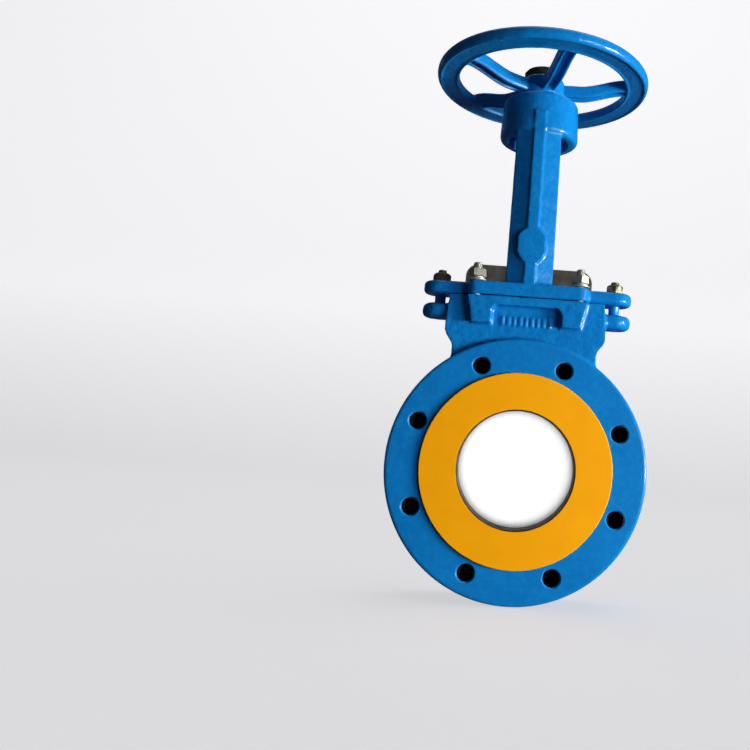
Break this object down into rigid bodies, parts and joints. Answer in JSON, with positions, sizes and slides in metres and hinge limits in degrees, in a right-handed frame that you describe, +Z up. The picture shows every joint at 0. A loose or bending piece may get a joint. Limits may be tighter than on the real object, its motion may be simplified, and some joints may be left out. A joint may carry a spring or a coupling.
{
  "type": "knife gate valve",
  "caption": "Hand-operated knife gate valve: flanged lug body with a round bore, sliding steel gate, packed chest, two-arm yoke, rising stem and spoked handwheel.",
  "frame": {"origin": "centre of the bore on the middle plane of the body", "axes": "+Z up along the stem towards the handwheel, -Y out of the front flange along the pipe, +X to the right seen from the front"},
  "size_m": [0.215, 0.1904, 0.465],
  "materials": {
    "blue_paint": "glossy enamel over rough casting",
    "stainless": "satin",
    "plain_steel": "machined",
    "zinc_steel": "zinc plated",
    "black_steel": "black oxide",
    "nut_brass": "machined",
    "seat_rubber": "matt",
    "packing_fibre": "braided, greased"
  },
  "bodies": {
    "valve_body": {"body": "blue_paint", "seat_ring": "seat_rubber", "seat_retaining_ring": "stainless", "packing_ring_1": "packing_fibre", "packing_ring_2": "packing_fibre", "packing_ring_3": "packing_fibre", "packing_follower": "plain_steel", "yoke": "blue_paint", "plate_stud_1": "zinc_steel", "plate_washer_1": "zinc_steel", "plate_spring_washer_1": "zinc_steel", "plate_nut_1": "zinc_steel", "plate_stud_2": "zinc_steel", "plate_washer_2": "zinc_steel", "plate_spring_washer_2": "zinc_steel", "plate_nut_2": "zinc_steel", "plate_stud_3": "zinc_steel", "plate_washer_3": "zinc_steel", "plate_spring_washer_3": "zinc_steel", "plate_nut_3": "zinc_steel", "plate_stud_4": "zinc_steel", "plate_washer_4": "zinc_steel", "plate_spring_washer_4": "zinc_steel", "plate_nut_4": "zinc_steel", "ear_stud_1": "blue_paint", "ear_nut_1": "zinc_steel", "ear_stud_2": "blue_paint", "ear_nut_2": "zinc_steel", "lower_thrust_washer": "plain_steel", "upper_thrust_washer": "plain_steel", "bearing_cap": "plain_steel"},
    "gate_and_stem": {"gate": "stainless", "stem": "stainless", "stem_clevis": "stainless", "stem_pin": "plain_steel", "clevis_bolt_1": "stainless", "clevis_nut_1": "stainless", "clevis_bolt_2": "stainless", "clevis_nut_2": "stainless"},
    "wheel_and_nut": {"handwheel": "blue_paint", "wheel_key": "plain_steel", "wheel_washer": "black_steel", "wheel_locknut": "black_steel", "stem_nut": "nut_brass"}
  },
  "joints": [
    {"name": "handwheel_turn", "type": "hinge", "parent": "valve_body", "child": "wheel_and_nut", "pos_m": [0, 0, 0.34], "axis": [0, 0, 1], "range_deg": [0, 9360]},
    {"name": "gate_lift", "type": "slide", "parent": "valve_body", "child": "gate_and_stem", "axis": [0, 0, 1], "range_m": [0, 0.1041]}
  ],
  "couplings": [
    {"joint": "gate_lift", "follows": "handwheel_turn", "m_per_rad": 0.00063662}
  ]
}
